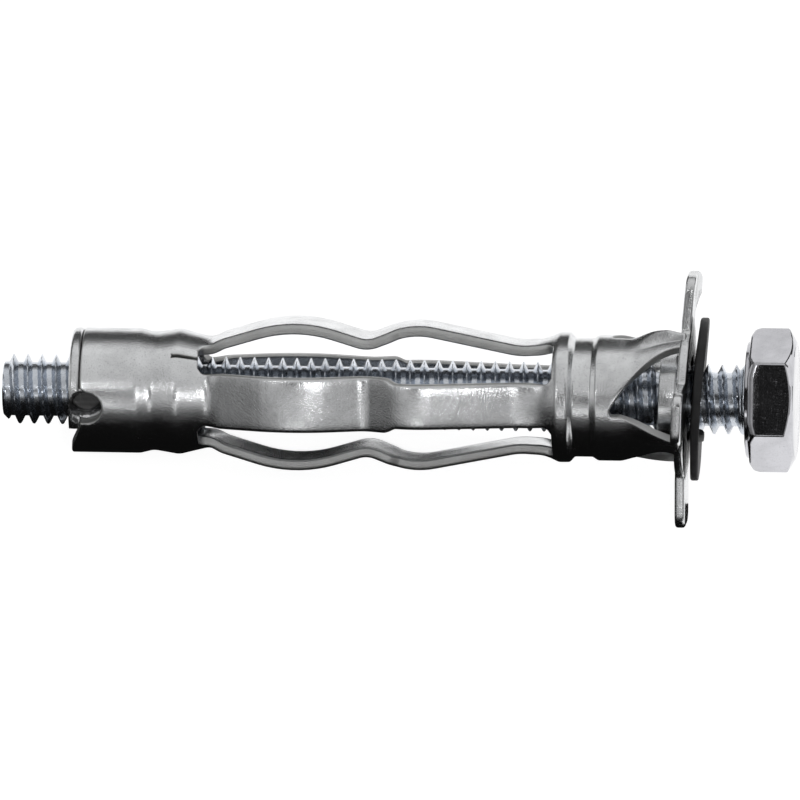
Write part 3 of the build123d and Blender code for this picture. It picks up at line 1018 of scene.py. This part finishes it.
def build_washer():
    """The washer's section turned about the axis. It leans with x and bows with x squared,
    and leans with y on the near side only, along a hyperbola. A torn lip of its bore stands
    out at the bottom on the head's side."""
    section = bent_line(WASHER_SECTION, 6)[:, ::-1]
    points = turned(section, WASHER_COLUMNS)
    x, y, z = points[..., 0], points[..., 1], points[..., 2]
    radius, angle = np.hypot(x, y), np.arctan2(y, x)
    from_lip = np.abs(angle_from(angle, LIP_ANGLE))
    lip = (z > 0.6) * (1 - smooth(3.8, 3.96, radius)) * (1 - smooth(0.5, 0.62, from_lip))
    z = z + LIP_HEIGHT * lip + WASHER_LEAN_X * x + WASHER_BOW_X * x * x + WASHER_Z
    z = z + WASHER_LEAN_Y * 0.5 * (y + np.sqrt(y * y + 1.0) - 1.0)
    points = np.stack([x, y, z], -1)
    sheet = Sheet()
    numbers = wrap(sheet.add_points(points))
    sheet.add_quads(np.concatenate([numbers, numbers[:1]]))
    points, quads = sheet.arrays()
    return make_piece("retaining_washer_skin", points, quads, "washer", "retaining_washer",
                      WASHER_RUBBER)


build_sleeve()
build_screw()
build_head()
build_nut()
build_washer()


# ---------------------------------------------------------------- stage, lights and camera
FLOOR_Z = CAD_BOX[0][2]
FLOOR_PALE = (0.85, 0.85, 0.85, 1)
FLOOR_SEEN = (0.32, 0.32, 0.32, 1)
FLOOR_GLOW = 0.92
CARD_OVER_FLOOR = 0.0001
BLACK = 0.004
MIDDLE = np.array(CAD_BOX).mean(0)
HEAD_MIDDLE = 8.0


def towards(round_angle, end_angle):
    """Direction from the anchor: degrees up from the front horizon, and towards the head."""
    a, e = math.radians(round_angle), math.radians(end_angle)
    return math.sin(e), -math.cos(e) * math.cos(a), math.cos(e) * math.sin(a)


def stage_piece(name, corners, material):
    """One four-cornered face that is part of the stage."""
    mesh = bpy.data.meshes.new(name)
    mesh.from_pydata([tuple(corner) for corner in corners], [], [(0, 1, 2, 3)])
    mesh.materials.append(material)
    piece = bpy.data.objects.new(name, mesh)
    bpy.context.scene.collection.objects.link(piece)
    return piece


def level_corners(x_range, y_range, z):
    """Corners of a level rectangle."""
    (x0, x1), (y0, y1) = x_range, y_range
    return [(x0, y0, z), (x1, y0, z), (x1, y1, z), (x0, y1, z)]


def build_floor():
    """A white floor that glows a little for the eye and for the metal, and takes shadows."""
    material, maker = new_material("floor_white")
    path = maker.node("ShaderNodeLightPath")
    seen = (path.value("Is Camera Ray") + path.value("Is Glossy Ray")
            + path.value("Is Transmission Ray")).clamp()
    colour = maker.mix(seen, FLOOR_PALE, FLOOR_SEEN)
    diffuse = maker.node("ShaderNodeBsdfDiffuse", {}, {"Color": colour})
    glow = maker.node("ShaderNodeEmission", {}, {"Color": (1, 1, 1, 1), "Strength": seen * FLOOR_GLOW})
    both = maker.node("ShaderNodeAddShader", {}, {0: diffuse.value(), 1: glow.value()})
    maker.node("ShaderNodeOutputMaterial", {}, {0: both.value()})
    stage_piece("floor", level_corners((-1.5, 1.5), (-1.5, 1.5), FLOOR_Z), material)


def reflection_card(name, corners, grey):
    """A flat card of one grey that only reflections see."""
    material, maker = new_material(name)
    glow = maker.node("ShaderNodeEmission", {}, {"Color": (1, 1, 1, 1), "Strength": grey})
    maker.node("ShaderNodeOutputMaterial", {}, {0: glow.value()})
    card = stage_piece(name, corners, material)
    card.visible_camera = False
    card.visible_diffuse = False
    card.visible_transmission = False
    card.visible_shadow = False


def level_card(name, x_range, y_range, grey):
    """A card lying just over the floor."""
    reflection_card(name, level_corners(x_range, y_range, FLOOR_Z + CARD_OVER_FLOOR), grey)


def facing_card(name, middle, direction, distance, width, height, grey):
    """A card square to a direction from a point, at a distance from it."""
    out = np.array(direction)
    across = unit(np.cross([0, 0, 1], out)) * width / 2
    rise = unit(np.cross(out, across)) * height / 2
    at = np.array(middle) + out * distance
    corners = [at - across - rise, at + across - rise, at + across + rise, at - across + rise]
    reflection_card(name, corners, grey)


def build_cards():
    """Black cards on the floor in front of the anchor and far behind it, black ones by the
    camera and over the head, and a light one behind the head."""
    head = place(np.array([0.0, 0.0, HEAD_MIDDLE]))
    flange_x = float(place(np.array([0.0, 0.0, 0.2]))[0])
    head_x = float(head[0]) - 0.0045
    near, far, side = -0.9, 0.9, 0.6
    level_card("card_front", (-side, flange_x), (near, 0.003), BLACK)
    level_card("card_front_screw", (flange_x, head_x), (near, -0.005), BLACK)
    level_card("card_front_far", (head_x, side), (near, -0.022), BLACK)
    level_card("card_rear", (-side, side), (0.045, far), 0.02)
    facing_card("card_camera", MIDDLE, towards(50, -5), 0.5, 0.15, 0.14, 0.006)
    facing_card("card_head_rear", head, towards(176, -5), 0.03, 0.022, 0.02, 0.95)
    facing_card("card_head_front", head, towards(56, -8), 0.04, 0.022, 0.03, 0.006)


def area_light(name, direction, distance, size, power):
    """An oval soft box that faces the anchor's middle from a direction."""
    light = bpy.data.lights.new(name, "AREA")
    light.shape = "ELLIPSE"
    light.size, light.size_y = size
    light.energy = power
    lamp = bpy.data.objects.new(name, light)
    lamp.location = MIDDLE + np.array(direction) * distance
    lamp.rotation_euler = Vector(direction).to_track_quat("Z", "Y").to_euler()
    bpy.context.scene.collection.objects.link(lamp)


# Grey of the studio round the anchor's length: degrees up from the front horizon, over the
# top to the back horizon at 180
STUDIO_ROUND = (
    (-90, 0.01), (-4, 0.03), (8, 0.06), (18, 0.16), (28, 0.4), (45, 0.58), (80, 0.6),
    (125, 0.74), (145, 0.8), (153, 0.4), (161, 0.09), (185, 0.05), (200, 0.5),
)

# How much of it is left at each place along, from the nut's end at 0 to the head's at 1
STUDIO_ALONG = ((0.0, 1.0), (0.06, 0.9), (0.13, 0.34), (0.18, 0.4), (0.25, 0.95), (0.8, 1.0), (0.95, 0.7))


def build_world():
    """A studio tent: light overhead and behind, dark at both horizons, with a dark band
    towards the nut's end. Its grey is the one for the angle round the anchor's length times
    the one for the place along it, and the eye itself sees white."""
    world = bpy.data.worlds.new("studio")
    bpy.context.scene.world = world
    world.use_nodes = True
    maker = Maker(world.node_tree)
    look = maker.node("ShaderNodeTexCoord").value("Generated")
    parts = maker.node("ShaderNodeSeparateXYZ", {}, {0: look})
    x, y, z = (parts.value(i) for i in range(3))
    round_share = maker.node("ShaderNodeMath", {"operation": "ARCTAN2"}, {0: z, 1: 0 - y}).value()
    round_share = maker.node("ShaderNodeMath", {"operation": "FRACT"},
                             {0: round_share * (1 / (2 * math.pi)) + 0.25}).value()
    tent = maker.ramp(round_share, [((angle + 90) / 360, grey) for angle, grey in STUDIO_ROUND])
    end_share = maker.ramp(x * 0.5 + 0.5, STUDIO_ALONG)
    camera_ray = maker.node("ShaderNodeLightPath").value("Is Camera Ray")
    strength = maker.node("ShaderNodeMix", {"data_type": "FLOAT"},
                          {0: camera_ray, 2: tent * end_share, 3: 1.0}).value(0)
    glow = maker.node("ShaderNodeBackground", {}, {"Color": (1, 1, 1, 1), "Strength": strength})
    maker.node("ShaderNodeOutputWorld", {}, {0: glow.value()})


# The camera: its turn to the head's end and its rise, the width that it takes in and the
# middle of that width in millimetres, and its long lens
SIDE_ON = math.radians(4.9)
ABOVE = math.radians(10.5)
VIEW_WIDTH = 71.43
VIEW_MIDDLE_Z = -24.96
VIEW_DROP = 0.5
LENS = 1000.0
SENSOR = 36.0


def build_camera():
    """Looks square at the front leg's side of the anchor, a little from the head's end and
    a little from above. Its distance is the view's width times the lens over the sensor."""
    to_camera = np.array([math.sin(ABOVE), math.cos(SIDE_ON) * math.cos(ABOVE),
                          math.sin(SIDE_ON) * math.cos(ABOVE)]) @ AXES
    right = unit(np.cross(LEG_X, to_camera))
    up = np.cross(to_camera, right)
    middle = place(np.array([0.0, 0.0, VIEW_MIDDLE_Z / math.cos(SIDE_ON)])) - up * VIEW_DROP * MM
    data = bpy.data.cameras.new("camera")
    data.lens = LENS
    data.sensor_width = SENSOR
    data.clip_start = 0.1
    data.clip_end = 10.0
    camera = bpy.data.objects.new("camera", data)
    turned_to = Matrix([list(row) for row in np.stack([right, up, to_camera], 1)])
    at = middle + to_camera * VIEW_WIDTH * MM * LENS / SENSOR
    camera.matrix_world = Matrix.Translation(at) @ turned_to.to_4x4()
    bpy.context.scene.collection.objects.link(camera)
    bpy.context.scene.camera = camera


build_floor()
build_cards()
build_world()
area_light("key_lamp", towards(47, 9), 0.5, (0.06, 0.06), 0.15)
area_light("nut_side_lamp", towards(62, -20), 0.5, (0.035, 0.035), 0.05)
area_light("fill_lamp", towards(25, -4), 0.5, (0.2, 0.07), 0.035)
build_camera()
bpy.context.scene.view_settings.view_transform = "Standard"
